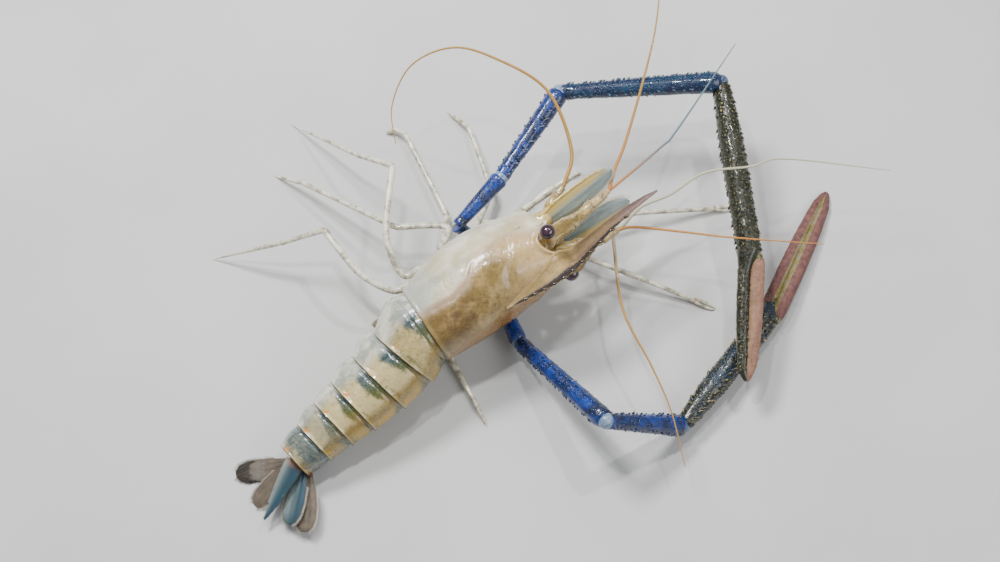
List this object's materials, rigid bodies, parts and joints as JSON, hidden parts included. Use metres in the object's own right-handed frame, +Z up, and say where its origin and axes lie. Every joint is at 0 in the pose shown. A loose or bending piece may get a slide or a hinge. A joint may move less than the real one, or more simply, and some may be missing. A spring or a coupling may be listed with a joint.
{
  "type": "giant river prawn",
  "caption": "Life-size giant river prawn with a toothed rostrum, long blue spiny claws, thin walking legs and sweeping feelers, lying on the floor.",
  "frame": {"origin": "on the floor under the middle of the whole prawn's box, feelers and claws included", "axes": "+Z up from the floor; +X to the picture's right, roughly from the tail to the claws; +Y away from the camera"},
  "size_m": [0.3354, 0.2716, 0.0734],
  "materials": {
    "shell": "wet, glossy shell, cream to ochre",
    "abdomen": "wet, glossy shell, ochre and blue-grey bands",
    "tail": "glossy, grey-brown and steel blue",
    "arm": "rough cobalt blue shell",
    "claw": "rough black-olive shell",
    "felt": "red-brown velvety finger",
    "leg": "ivory shell",
    "feeler": "tan",
    "scale": "glossy, blue-grey with an ochre edge",
    "eye": "glossy, purple-brown"
  },
  "bodies": {
    "root": {"abdomen_1": "abdomen", "abdomen_2": "abdomen", "abdomen_3": "abdomen", "abdomen_4": "abdomen", "abdomen_5": "abdomen", "abdomen_6": "abdomen", "antenna_left": "feeler", "antenna_right": "feeler", "antennal_scale_left": "scale", "antennal_scale_right": "scale", "antennule_left": "feeler", "antennule_right": "feeler", "arm_left_carpus": "arm", "arm_left_ischium": "arm", "arm_left_merus": "arm", "arm_right_carpus": "arm", "arm_right_ischium": "arm", "arm_right_merus": "arm", "carapace": "shell", "claw_left_finger": "felt", "claw_left_palm": "claw", "claw_right_finger": "felt", "claw_right_palm": "claw", "eye_left": "eye", "eye_right": "eye", "leg_1_left": "leg", "leg_1_right": "leg", "leg_3_left_lower": "leg", "leg_3_left_upper": "leg", "leg_3_right_lower": "leg", "leg_3_right_upper": "leg", "leg_4_left_lower": "leg", "leg_4_left_upper": "leg", "leg_4_right_lower": "leg", "leg_4_right_upper": "leg", "leg_5_left_lower": "leg", "leg_5_left_upper": "leg", "leg_5_right_lower": "leg", "leg_5_right_upper": "leg", "maxilliped_left": "leg", "maxilliped_right": "leg", "pleopod_1_left": "leg", "pleopod_1_right": "leg", "pleopod_2_left": "leg", "pleopod_2_right": "leg", "pleopod_3_left": "leg", "pleopod_3_right": "leg", "pleopod_4_left": "leg", "pleopod_4_right": "leg", "pleopod_5_left": "leg", "pleopod_5_right": "leg", "rostrum": "shell", "sternum": "leg", "telson": "tail", "uropod_inner_left": "tail", "uropod_inner_right": "tail", "uropod_outer_left": "tail", "uropod_outer_right": "tail"}
  },
  "joints": []
}
